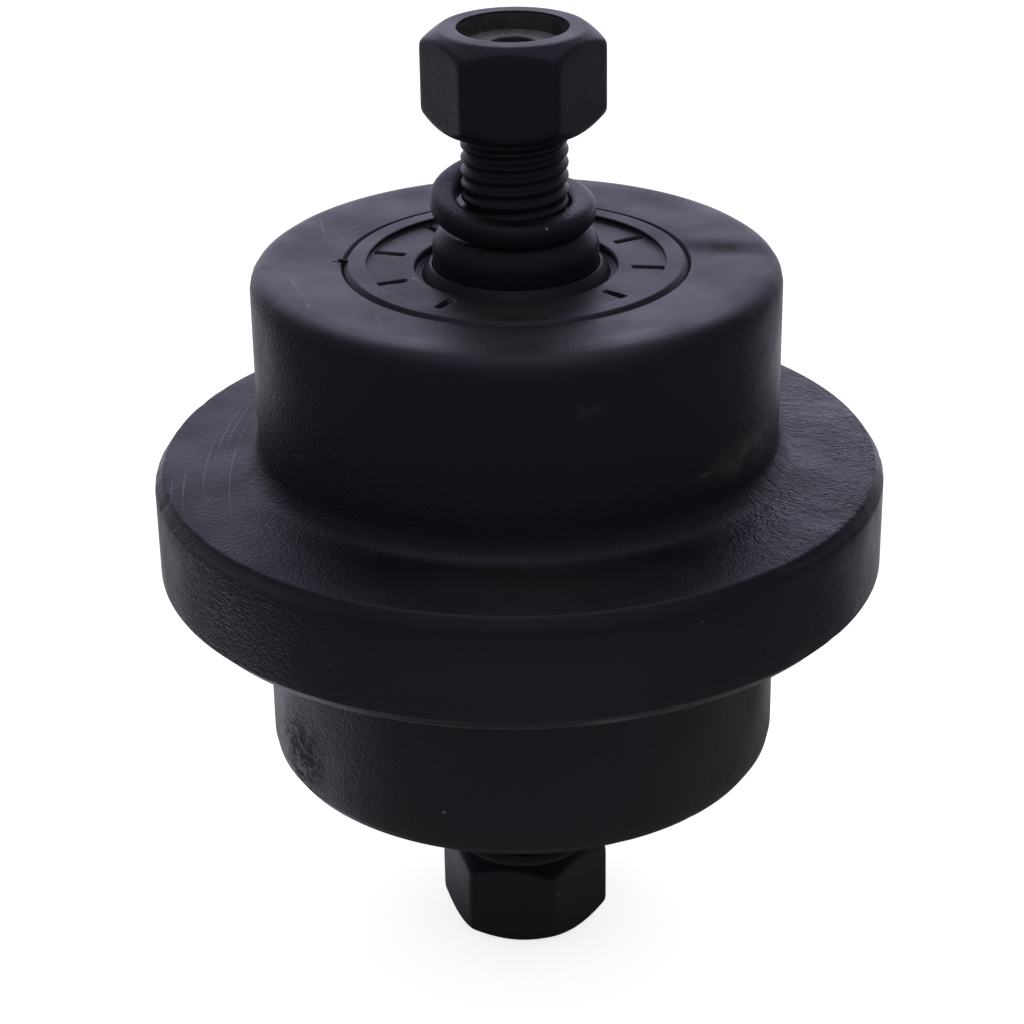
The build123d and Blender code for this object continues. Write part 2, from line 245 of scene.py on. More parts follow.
rim_top = (rim_half - top_chamfer[1], rim_half)
rim_bottom = (-rim_half, bottom_chamfer - rim_half)
upper_end = (38 * mm, 40.9 * mm)
lower_end = (-40.9 * mm, -33 * mm)
left_of_rim = (2.6, 3.5)
shell_dents = (
    struck_marks(70, 3, (54.6 * mm, 56.3 * mm), rim_top, (0.5 * mm, 1.0 * mm), (0.03 * mm, 0.13 * mm))
    + struck_marks(
        26, 4, (54.4 * mm, 56.3 * mm), rim_top, (0.6 * mm, 1.3 * mm), (0.03 * mm, 0.12 * mm), left_of_rim
    )
    + struck_marks(60, 5, (53.6 * mm, 56.3 * mm), rim_bottom, (0.5 * mm, 1.3 * mm), (0.03 * mm, 0.16 * mm))
    + struck_marks(24, 6, (38.6 * mm, 40.1 * mm), upper_end, (0.5 * mm, 1.2 * mm), (0.02 * mm, 0.08 * mm))
    + struck_marks(40, 7, (38 * mm, 40.1 * mm), lower_end, (0.6 * mm, 1.5 * mm), (0.02 * mm, 0.12 * mm))
)
root_ring = 42.75 * mm
root_ring_width = 0.55 * mm
root_ring_depth = 0.15 * mm
across_ring = (shell_radius - root_ring) / root_ring_width
shell_dents += root_ring_depth * np.exp(-(across_ring**2)) * (shell_height > 0)
roller_shell = woven_mesh("roller_body", spun_grid(shell_outline, shell_columns, shell_dents))
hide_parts("roller_shell")
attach(roller_shell, "roller")


def rounded_lump(name, middle, reach, turn, columns=32, rows=17):
    """Ellipsoid with three half lengths about a middle, turned about the roller's axis, in rows of latitude."""
    near_pole = math.pi / 2 * 0.999
    latitude = np.linspace(-near_pole, near_pole, rows)[:, None]
    longitude = np.arange(columns) * (2 * math.pi / columns)
    along = reach[0] * np.cos(latitude) * np.cos(longitude)
    across = reach[1] * np.cos(latitude) * np.sin(longitude)
    x = middle[0] + along * math.cos(turn) - across * math.sin(turn)
    y = middle[1] + along * math.sin(turn) + across * math.cos(turn)
    z = middle[2] + reach[2] * np.sin(latitude)
    grid = np.stack([x, y, np.broadcast_to(z, x.shape)], axis=-1)
    return woven_mesh(name, grid, round_rows=False, ends_capped=True)


burr_middle = (-25.95 * mm, 1.0 * mm, 40.55 * mm)
burr_reach = (1.0 * mm, 0.3 * mm, 0.32 * mm)
stake_burr = rounded_lump("stake_burr", burr_middle, burr_reach, turn=-0.45)
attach(stake_burr, "roller")

# Shaft: turned steel with a chamfered 25 mm shoulder and an M16 x 2 stud at each end, painted with the rest.
# The thread is cut to the shoulder, its crests are flat and its roots are half filled with paint.
collar_radius = 15.0 * mm
seat_radius = 12.5 * mm
shoulder_height = 46.3 * mm
shoulder_chamfer = (1.5 * mm, 2.2 * mm)
stud_radius = 8.0 * mm
stud_height = 74.1 * mm
stud_chamfer = 0.9 * mm
thread_pitch = 2.0 * mm
thread_depth = 0.5 * mm
thread_crest = 0.9
thread_root = 0.15
thread_runout = 1.6 * mm
centre_mouth = 3.5 * mm
centre_pilot = 1.575 * mm
centre_cone_depth = (centre_mouth - centre_pilot) / math.tan(math.radians(30))
centre_bottom = stud_height - centre_cone_depth - 3.0 * mm
thread_rows = 200


def thread_cut(height, angle):
    """Depth of a right-hand thread at a height and an angle. The crest climbs one pitch a turn, and across one
    pitch the depth is 0 on the crest's flat, full on the root's flat and straight on the flanks between."""
    across = np.abs(2 * ((height / thread_pitch - angle / (2 * math.pi)) % 1) - 1)
    return thread_depth * smooth_step(thread_crest - across, 0, thread_crest - thread_root)


def stud_rows(start, end):
    """Outline points up the plain stud at even steps, close enough to carry the thread."""
    heights = np.linspace(start, end, thread_rows)
    return np.stack([np.full(thread_rows, stud_radius), heights], axis=1)


shaft_half = turned_outline(
    [
        (0.02 * mm, 0, 0.01 * mm),
        (collar_radius, 0, 0.01 * mm),
        (collar_radius, bearing_shoulder, 0.3 * mm),
        (seat_radius, bearing_shoulder, 0.2 * mm),
        (seat_radius, shoulder_height - shoulder_chamfer[1], 3.4 * mm),
        (seat_radius - shoulder_chamfer[0], shoulder_height, 0.6 * mm),
        (stud_radius, shoulder_height, 0.15 * mm),
        (stud_radius, stud_height - stud_chamfer, 0.1 * mm),
        (stud_radius - stud_chamfer, stud_height, 0.2 * mm),
        (centre_mouth, stud_height, 0.15 * mm),
        (centre_pilot, stud_height - centre_cone_depth, 0.1 * mm),
        (centre_pilot, centre_bottom, 0.1 * mm),
        (0.02 * mm, centre_bottom, 0.01 * mm),
    ],
    longest_run=2.5 * mm,
)
outer_half = shaft_half[(shaft_half[:, 0] > 1.0 * mm) & (shaft_half[:, 1] > 0.1 * mm)]
on_stud = (np.abs(outer_half[:, 0] - stud_radius) < 0.01 * mm) & (outer_half[:, 1] > shoulder_height + 0.2 * mm)
first_on_stud = np.argmax(on_stud)
last_on_stud = len(on_stud) - 1 - np.argmax(on_stud[::-1])
climbing = stud_rows(outer_half[first_on_stud, 1], outer_half[last_on_stud, 1])
pole = np.array([[0.0, centre_bottom]])
upper_half = np.concatenate([outer_half[:first_on_stud], climbing, outer_half[last_on_stud + 1 :], pole])
lower_half = upper_half[::-1] * [1, -1]
shaft_outline = np.concatenate([lower_half, upper_half])
shaft_columns = 144
shaft_angle = np.arange(shaft_columns) * (2 * math.pi / shaft_columns)
shaft_rise = np.abs(shaft_outline[:, 1:])
threaded = smooth_step(shaft_rise, shoulder_height + 0.3 * mm, shoulder_height + thread_runout)
threaded = threaded * (shaft_outline[:, :1] > stud_radius - stud_chamfer)
cut = thread_cut(shaft_outline[:, 1:], shaft_angle) * threaded
shaft_spread = np.minimum(shaft_outline[:, :1], np.maximum(stud_radius - cut, 0) + (threaded == 0) * 1.0)
shaft_grid = np.stack(
    [
        shaft_spread * np.cos(shaft_angle),
        shaft_spread * np.sin(shaft_angle),
        np.broadcast_to(shaft_outline[:, 1:], shaft_spread.shape),
    ],
    axis=-1,
)
roller_shaft = woven_mesh("shaft_with_studs", shaft_grid, round_rows=False)
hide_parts("roller_shaft")
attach(roller_shaft, "shaft")

# Shaft seals: moulded rubber with a flat rim, a sunken web with short radial slots, and a thin dust lip.
# They are pressed in level with the roller's end faces and were painted over with it.
seal_face = 40.8 * mm
seal_back = 33.8 * mm
seal_rim_radius = 22.5 * mm
seal_chamfer = 0.85 * mm
seal_outside = bore_radius - 0.02 * mm
seal_heel_radius = 23.4 * mm
seal_floor = seal_face - 0.75 * mm
seal_web_back = seal_floor - 1.8 * mm
seal_groove_radius = 15.3 * mm
lip_radius = seat_radius + 0.06 * mm
head_radius = lip_radius + 2.0 * mm
slot_depth = 1.0 * mm
slot_half_width = 0.55 * mm
slot_half_length = 2.4 * mm
slot_middle = 19.8 * mm
slot_pitch = math.radians(36)
slot_steps = (-1.5, -0.5, 0.5, 1.5)
slot_group_middles = (11, 183)
slot_angles = [math.radians(middle) + slot_pitch * step for middle in slot_group_middles for step in slot_steps]
seal_outline = turned_outline(
    [
        (head_radius, seal_back + 0.2 * mm, 0.1 * mm),
        (head_radius - 0.6 * mm, seal_back + 0.2 * mm, 0.1 * mm),
        (lip_radius, seal_back + 1.8 * mm, 0.05 * mm),
        (lip_radius + 0.8 * mm, seal_web_back - 0.4 * mm, 0.2 * mm),
        (lip_radius, seal_floor + 0.55 * mm, 0.1 * mm),
        (lip_radius + 0.4 * mm, seal_floor + 0.55 * mm, 0.12 * mm),
        (lip_radius + 1.6 * mm, seal_web_back + 0.4 * mm, 0.35 * mm),
        (seal_groove_radius, seal_web_back + 0.4 * mm, 0.25 * mm),
        (seal_groove_radius, seal_floor, 0.3 * mm),
        (seal_rim_radius, seal_floor, 0.15 * mm),
        (seal_rim_radius, seal_face, 0.2 * mm),
        (seal_outside - seal_chamfer, seal_face, 0.35 * mm),
        (seal_outside, seal_face - seal_chamfer, 0.35 * mm),
        (seal_outside, seal_back, 0.5 * mm),
        (seal_heel_radius, seal_back, 0.2 * mm),
        (seal_heel_radius, seal_web_back, 0.3 * mm),
        (seal_groove_radius, seal_web_back, 0.2 * mm),
        (head_radius, seal_back + 4.2 * mm, 0.2 * mm),
    ],
    longest_run=0.32 * mm,
    arc_steps=4,
)
seal_columns = 600
seal_angle = np.arange(seal_columns) * (2 * math.pi / seal_columns)


def seal_grid(side):
    """The seal's turned section with its slots sunk into the web: a slot's depth falls off smoothly at its sides
    and its ends, measured along and across the ray through its middle."""
    radius, height = seal_outline[:, :1], seal_outline[:, 1:]
    on_floor = np.abs(height - seal_floor) < 0.02 * mm
    depth = np.zeros((len(seal_outline), seal_columns))
    for slot_angle in slot_angles:
        along = radius * np.cos(seal_angle - slot_angle)
        across = radius * np.sin(seal_angle - slot_angle)
        inside = 1 - smooth_step(np.abs(across), slot_half_width - 0.15 * mm, slot_half_width + 0.1 * mm)
        inside *= 1 - smooth_step(np.abs(along - slot_middle), slot_half_length - 0.2 * mm, slot_half_length)
        depth = np.maximum(depth, slot_depth * inside)
    lowered = height - depth * on_floor
    flat_x = radius * np.cos(seal_angle)
    flat_y = radius * np.sin(seal_angle)
    return np.stack([flat_x, flat_y, side * lowered], axis=-1)


for end, side in (("upper", 1), ("lower", -1)):
    seal = woven_mesh(f"{end}_shaft_seal", seal_grid(side))
    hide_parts(f"{end}_seal")
    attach(seal, "roller")

# Nuts: forged M16 hexagons, bevelled at both ends and countersunk, with soft corners under the paint.
# Both are run out near the ends of their studs, as the roller is packed for sale.
nut_across_flats = 24.0 * mm
nut_height = 14.8 * mm
nut_face_radius = 10.75 * mm
nut_bevel = math.radians(35)
nut_mouth_radius = 8.25 * mm
nut_mouth_depth = 2.6 * mm
nut_mouth_rounding = 0.5 * mm
nut_bore_radius = stud_radius + 0.05 * mm
nut_corner_softness = 50
nut_face_softness = 150
nut_columns = 288
upper_nut_base = stud_height + 2.4 * mm - nut_height
lower_nut_base = -stud_height - 0.4 * mm


def hexagon_reach(angle, turn, tilt):
    """Distance from the nut's middle to its skin in a direction given by an angle round and a tilt from level.
    Each face gives the distance at which the ray meets it, and the high power mean of their inverses is the
    nearest one with soft corners: flats at half the width over flats, bevel cones, and the two end planes."""
    level = np.cos(tilt)
    rise = np.abs(np.sin(tilt))
    corner_radius = nut_across_flats / math.sqrt(3)
    cone_height = nut_height / 2 - (corner_radius - nut_face_radius) * math.tan(nut_bevel)
    inverse = [
        np.clip(level * np.cos(angle - turn - math.pi / 6 - side * math.pi / 3), 0, None) / (nut_across_flats / 2)
        for side in range(6)
    ]
    cone_run = corner_radius * math.sin(nut_bevel) + cone_height * math.cos(nut_bevel)
    inverse.append((level * math.sin(nut_bevel) + rise * math.cos(nut_bevel)) / cone_run)
    soft = sum(share**nut_corner_softness for share in inverse) ** (1 / nut_corner_softness)
    face = rise / (nut_height / 2)
    return (soft**nut_face_softness + face**nut_face_softness) ** (-1 / nut_face_softness)


def nut_grid(base, turn):
    """Rows of one closed loop: over the skin from the lower mouth to the upper, then down through the countersink
    and the threaded bore. Skin rows follow tilts, and bore rows are the stud's thread plus its clearance."""
    angle = np.arange(nut_columns) * (2 * math.pi / nut_columns)
    mouth_tilt = math.atan2(nut_height / 2, nut_mouth_radius)
    edge_tilt = math.atan2(nut_height / 2, nut_face_radius)
    tilt = np.concatenate(
        [
            np.linspace(-mouth_tilt, -edge_tilt, 8)[:-1],
            np.linspace(-edge_tilt, edge_tilt, 74),
            np.linspace(edge_tilt, mouth_tilt, 8)[1:],
        ]
    )[:, None]
    reach = hexagon_reach(angle, turn, tilt)
    skin_radius = reach * np.cos(tilt)
    skin_height = reach * np.sin(tilt) + nut_height / 2
    bore_rows = np.linspace(1, 0, 84)[1:-1, None] * nut_height
    into_mouth = np.minimum(bore_rows, nut_height - bore_rows)
    narrowing = (nut_mouth_radius - nut_bore_radius) * into_mouth / nut_mouth_depth
    rounding = nut_mouth_rounding * np.clip(1 - into_mouth / nut_mouth_rounding, 0, 1) ** 2 / 2
    past_mouth = smooth_step(into_mouth, nut_mouth_depth, nut_mouth_depth + 0.8 * mm)
    thread_minor = nut_bore_radius - 1.05 * mm + thread_cut(bore_rows + base, angle)
    wall = nut_mouth_radius - narrowing + rounding
    bore_radius_here = np.minimum(wall, nut_bore_radius + (thread_minor - nut_bore_radius) * past_mouth)
    bore_radius_here = np.where(into_mouth < nut_mouth_depth, wall, bore_radius_here)
    radius = np.concatenate([skin_radius, bore_radius_here])
    height = np.concatenate([skin_height, np.broadcast_to(bore_rows, bore_radius_here.shape)])
    return np.stack([radius * np.cos(angle), radius * np.sin(angle), height + base], axis=-1)


upper_nut_turn = -3.2
lower_nut_turn = -10.6
for end, base, turn in (("upper", upper_nut_base, upper_nut_turn), ("lower", lower_nut_base, lower_nut_turn)):
    nut = woven_mesh(f"{end}_hexagon_nut", nut_grid(base, math.radians(turn)))
    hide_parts(f"{end}_nut")
    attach(nut, "shaft")

# Spring washers: a rounded steel bar coiled left-handed almost one turn, cut square at both ends.
# One lies on the shaft's shoulder and one has dropped onto the lower nut; each tips onto its low end.
washer_radius = 10.35 * mm
washer_half_width = 1.95 * mm
washer_half_height = 1.9 * mm
washer_rounding = 1.4 * mm
washer_rise = 4.3 * mm
washer_sweep = math.radians(342)
washer_lift = 0.12 * mm
washer_shift = 0.35 * mm
washer_steps = 180


def washer_grid(seat_height, start):
    """A rounded oblong carried along a coil: its centre goes clockwise round a circle and climbs evenly, and the
    whole coil is leant by the slope at which such a coil rests on its low end and the point half a turn on."""
    low_end = np.array([math.cos(start), math.sin(start), 0.0])
    quarter_on = np.array([math.sin(start), -math.cos(start), 0.0])
    raised_end = np.array([math.cos(start - washer_sweep), math.sin(start - washer_sweep), 0.0])
    lean = -(low_end * washer_rise / 4 + quarter_on * washer_rise / (2 * math.pi)) / washer_radius
    upright = lean + [0, 0, 1]
    upright /= np.linalg.norm(upright)
    forward = low_end - upright * (low_end @ upright)
    forward /= np.linalg.norm(forward)
    sideways = np.cross(upright, forward)
    origin = raised_end * washer_shift + [0, 0, seat_height + washer_lift - washer_rise / 4]
    turn = np.linspace(0, washer_sweep, washer_steps)[:, None, None]
    outward = np.cos(turn) * forward - np.sin(turn) * sideways
    climb = upright * washer_rise / washer_radius / (2 * math.pi)
    onward = -np.sin(turn) * forward - np.cos(turn) * sideways + climb
    onward /= np.linalg.norm(onward, axis=-1, keepdims=True)
    above = np.cross(onward, outward)
    above *= np.sign(above @ upright)[..., None]
    centre = origin + outward * washer_radius
    centre = centre + upright * (washer_half_height + washer_rise * turn / (2 * math.pi))
    section = turned_outline(
        [
            (-washer_half_width, -washer_half_height, washer_rounding),
            (washer_half_width, -washer_half_height, washer_rounding),
            (washer_half_width, washer_half_height, washer_rounding),
            (-washer_half_width, washer_half_height, washer_rounding),
        ],
        longest_run=0.5 * mm,
        arc_steps=7,
    )
    return centre + outward * section[None, :, :1] + above * section[None, :, 1:]


lower_nut_top = lower_nut_base + nut_height
upper_washer_start = 112
lower_washer_start = 210
washer_places = (
    ("upper", shoulder_height, upper_washer_start),
    ("lower", lower_nut_top, lower_washer_start),
)
for end, seat, start in washer_places:
    coil = washer_grid(seat, math.radians(start))
    washer = woven_mesh(f"{end}_lock_washer", coil, round_rows=False, ends_capped=True)
    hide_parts(f"{end}_spring_washer")
    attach(washer, "shaft")

# Black paint: one satin coat over everything that shows, bluish where the white sweep lies on it.
# It has orange peel and wrinkles, turning marks show through it, and it is scuffed, scratched and dusty.
paint_colour = (0.0035, 0.0036, 0.0044, 1)
paint_sheen_colour = (0.74, 0.74, 1.0, 1)
paint_shine = 0.95
paint_metal = 0.3
paint_index = 1.6
# Pale grey for bare metal, also used for painted light on the front and the lit sides.
bare_and_painted_light_colour = (0.3, 0.3, 0.305, 1)
dust_colour = (0.062, 0.056, 0.051, 1)
all_round = 900


def new_finish(name, colour, roughness):
    """A node material with its Principled shader and the piece's own coordinates ready to link."""
    finish = bpy.data.materials.new(name)
    finish.use_nodes = True
    tree = finish.node_tree
    shader = tree.nodes["Principled BSDF"]
    shader.inputs["Base Color"].default_value = colour
    shader.inputs["Roughness"].default_value = roughness
    place = tree.nodes.new("ShaderNodeTexCoord")
    return finish, tree, shader, place.outputs["Object"]


def work_out(tree, operation, first, second=0.0, third=0.0):
    """One arithmetic node on sockets or numbers."""
    node = tree.nodes.new("ShaderNodeMath")
    node.operation = operation
    for socket, value in zip(node.inputs, (first, second, third)):
        if isinstance(value, (int, float)):
            socket.default_value = value
        else:
            tree.links.new(value, socket)
    return node.outputs[0]


def grain(tree, vector, scale, detail=3.0, roughness=0.55, distortion=0.0):
    """Noise between 0 and 1 at a scale given in grains per metre."""
    node = tree.nodes.new("ShaderNodeTexNoise")
    tree.links.new(vector, node.inputs["Vector"])
    node.inputs["Scale"].default_value = scale
    node.inputs["Detail"].default_value = detail
    node.inputs["Roughness"].default_value = roughness
    node.inputs["Distortion"].default_value = distortion
    return node.outputs["Fac"]


def between(tree, value, low, high, low_result=0.0, high_result=1.0):
    """A value carried from one range to another, smoothly and clamped at both ends."""
    node = tree.nodes.new("ShaderNodeMapRange")
    node.interpolation_type = "SMOOTHSTEP"
    tree.links.new(value, node.inputs["Value"])
    node.inputs["From Min"].default_value = low
    node.inputs["From Max"].default_value = high
    node.inputs["To Min"].default_value = low_result
    node.inputs["To Max"].default_value = high_result
    return node.outputs["Result"]


def multiplied(tree, *factors):
    """Product of sockets or numbers."""
    product = factors[0]
    for factor in factors[1:]:
        product = work_out(tree, "MULTIPLY", product, factor)
    return product


def turned_place(tree, place):
    """The cosine and sine of the direction round the axis, the radius and the height of a point."""
    split = tree.nodes.new("ShaderNodeSeparateXYZ")
    tree.links.new(place, split.inputs[0])
    x, y, height = split.outputs
    squared = work_out(tree, "ADD", multiplied(tree, x, x), multiplied(tree, y, y))
    radius = work_out(tree, "SQRT", squared)
    return work_out(tree, "DIVIDE", x, radius), work_out(tree, "DIVIDE", y, radius), radius, height


def drawn_out(tree, turned, around, outward, upward):
    """Coordinates that follow a turned piece with its own number of grains round it, outwards and upwards.
    The direction stays a cosine and a sine, so nothing shows where a turn ends and starts."""
    cosine, sine, radius, height = turned
    join = tree.nodes.new("ShaderNodeCombineXYZ")
    tree.links.new(multiplied(tree, cosine, around), join.inputs[0])
    tree.links.new(multiplied(tree, sine, around), join.inputs[1])
    lifted = multiplied(tree, height, upward)
    tree.links.new(work_out(tree, "MULTIPLY_ADD", radius, outward, lifted), join.inputs[2])
    return join.outputs[0]


def patch(tree, place, middle, reach, turn=0.0):
    """1 at a place on the piece and 0 beyond a reach from it along three directions turned about the axis. Place
    and reach are in millimetres, and a reach of all_round takes in the whole piece."""
    node = tree.nodes.new("ShaderNodeMapping")
    node.vector_type = "TEXTURE"
    tree.links.new(place, node.inputs["Vector"])
    node.inputs["Location"].default_value = [part * mm for part in middle]
    node.inputs["Rotation"].default_value = (0, 0, turn)
    node.inputs["Scale"].default_value = [part * mm for part in reach]
    length = tree.nodes.new("ShaderNodeVectorMath")
    length.operation = "LENGTH"
    tree.links.new(node.outputs[0], length.inputs[0])
    return between(tree, length.outputs["Value"], 0.0, 1.0, 1.0, 0.0)


def blended(tree, amount, first, second):
    """Colour that goes from the first to the second, each a socket or a fixed colour."""
    node = tree.nodes.new("ShaderNodeMix")
    node.data_type = "RGBA"
    tree.links.new(amount, node.inputs["Factor"])
    for socket, colour in ((node.inputs["A"], first), (node.inputs["B"], second)):
        if isinstance(colour, tuple):
            socket.default_value = colour
        else:
            tree.links.new(colour, socket)
    return node.outputs["Result"]


def raised(tree, shader, layers):
    """Bump made of layers: each is a height between 0 and 1 and its real depth in metres."""
    total = 0.0
    for height, depth in layers:
        total = work_out(tree, "MULTIPLY_ADD", height, depth, total)
    node = tree.nodes.new("ShaderNodeBump")
    node.inputs["Distance"].default_value = 1.0
    tree.links.new(total, node.inputs["Height"])
    tree.links.new(node.outputs["Normal"], shader.inputs["Normal"])


def lines_of(tree, noise, level, width):
    """1 on the thin contour lines along which a noise passes a level, and 0 away from them."""
    off = work_out(tree, "ABSOLUTE", work_out(tree, "SUBTRACT", noise, level))
    return between(tree, off, 0.0, width, 1.0, 0.0)


def strongest(tree, *amounts):
    """The largest of sockets or numbers."""
    largest = amounts[0]
    for amount in amounts[1:]:
        largest = work_out(tree, "MAXIMUM", largest, amount)
    return largest


def black_paint(name, roughness=0.42, peel_depth=0.00005, extra=None):
    """Satin black paint: orange peel of two sizes, stronger in some places, uneven gloss and a few specks worn to
    metal. A piece's own marks are added by a function that gives more bump layers, worn metal and painted
    light, dust and dullness."""
    finish, tree, shader, place = new_finish(name, paint_colour, roughness)
    shader.inputs["Specular IOR Level"].default_value = paint_shine
    shader.inputs["Specular Tint"].default_value = paint_sheen_colour
    shader.inputs["IOR"].default_value = paint_index
    shader.inputs["Metallic"].default_value = paint_metal
    strength = between(tree, grain(tree, place, 35, detail=2), 0.35, 0.65, 0.5, 1.0)
    layers = [
        (multiplied(tree, grain(tree, place, 2500, detail=2), strength), peel_depth * 2),
        (multiplied(tree, grain(tree, place, 1000, detail=1), strength), peel_depth * 0.6),
    ]
    specks = between(tree, grain(tree, place, 620, detail=1), 0.79, 0.81)
    bare_metal_and_painted_light = multiplied(tree, specks, 0.4)
    dust = None
    gloss = between(tree, grain(tree, place, 90, detail=4), 0.3, 0.7, roughness - 0.05, roughness + 0.07)
    if extra is not None:
        more_layers, more_bare_and_painted_light, dust, rougher = extra(tree, place)
        layers += more_layers
        bare_metal_and_painted_light = strongest(tree, bare_metal_and_painted_light, more_bare_and_painted_light)
        gloss = work_out(tree, "ADD", gloss, rougher)
        dulled = work_out(tree, "MULTIPLY_ADD", rougher, -paint_shine * 2, paint_shine)
        tree.links.new(dulled, shader.inputs["Specular IOR Level"])
    colour = blended(tree, bare_metal_and_painted_light, paint_colour, bare_and_painted_light_colour)
    if dust is not None:
        colour = blended(tree, dust, colour, dust_colour)
    tree.links.new(colour, shader.inputs["Base Color"])
    tree.links.new(gloss, shader.inputs["Roughness"])
    raised(tree, shader, layers)
    return finish


def arc_scratch(tree, place, leftmost, low, high):
    """1 on a long shallow arc across the flange, seen from above: it bulges to the left as far as the first
    number and runs between two places given along the viewer's direction, all in millimetres."""
    above = tree.nodes.new("ShaderNodeVectorMath")
    above.operation = "MULTIPLY"
    tree.links.new(place, above.inputs[0])
    above.inputs[1].default_value = (1, 1, 0)
    centre = tree.nodes.new("ShaderNodeVectorMath")
    centre.operation = "DISTANCE"
    tree.links.new(above.outputs[0], centre.inputs[0])
    centre.inputs[1].default_value = ((leftmost + arc_radius) * mm, arc_middle_y * mm, 0)
    off = work_out(tree, "ABSOLUTE", work_out(tree, "SUBTRACT", centre.outputs["Value"], arc_radius * mm))
    line = between(tree, off, *arc_line_edges, 1.0, 0.0)
    middle = (leftmost + 2, (low + high) / 2, 10.5)
    reach = (20, (high - low) * 0.7, 6)
    return multiplied(tree, line, patch(tree, place, middle, reach))


def straight_scratch(tree, place, start, end):
    """1 along a thin straight scratch on the upper end face between two places seen from above, in millimetres."""
    middle = ((start[0] + end[0]) / 2, (start[1] + end[1]) / 2, half_width / mm)
    turn = math.atan2(end[1] - start[1], end[0] - start[0])
    reach = (math.dist(start, end) / 2, scratch_half_width, scratch_half_height)
    return patch(tree, place, middle, reach, turn)


arc_radius = 104
arc_middle_y = -6
arc_line_edges = (0.03 * mm, 0.14 * mm)
scratch_half_width = 0.22
scratch_half_height = 2
flange_arcs = (
    (-43.9, -24, 13),
    (-47.9, -16, 8),
    (-50.9, -20, -6),
    (-52.7, -17, -8),
    (-45.6, 0, 20),
    (-46.8, -4, 18),
)
face_scratches = (
    ((-29.3, 11.1), (-21.2, 19.5)),
    ((-37.4, 5.2), (-32.0, 8.4)),
    ((-34.4, -3.8), (-30.6, -15.1)),
    ((-30.8, -14.6), (-29.6, -20.1)),
    ((-20.6, -21.7), (-18.9, -24.9)),
    ((-30.8, 21.4), (-28.9, 9.0)),
)
# Painted light: paler patches on the front, where the roller faces the viewer, as middle, reach and amount.
painted_front_light_patches = (
    ((3, -33, 40.8), (24, 11, 4), 0.07),
    ((0, -48, 9.8), (36, 13, 4), 0.055),
    ((0, -56, -1), (48, 16, 12), 0.022),
)


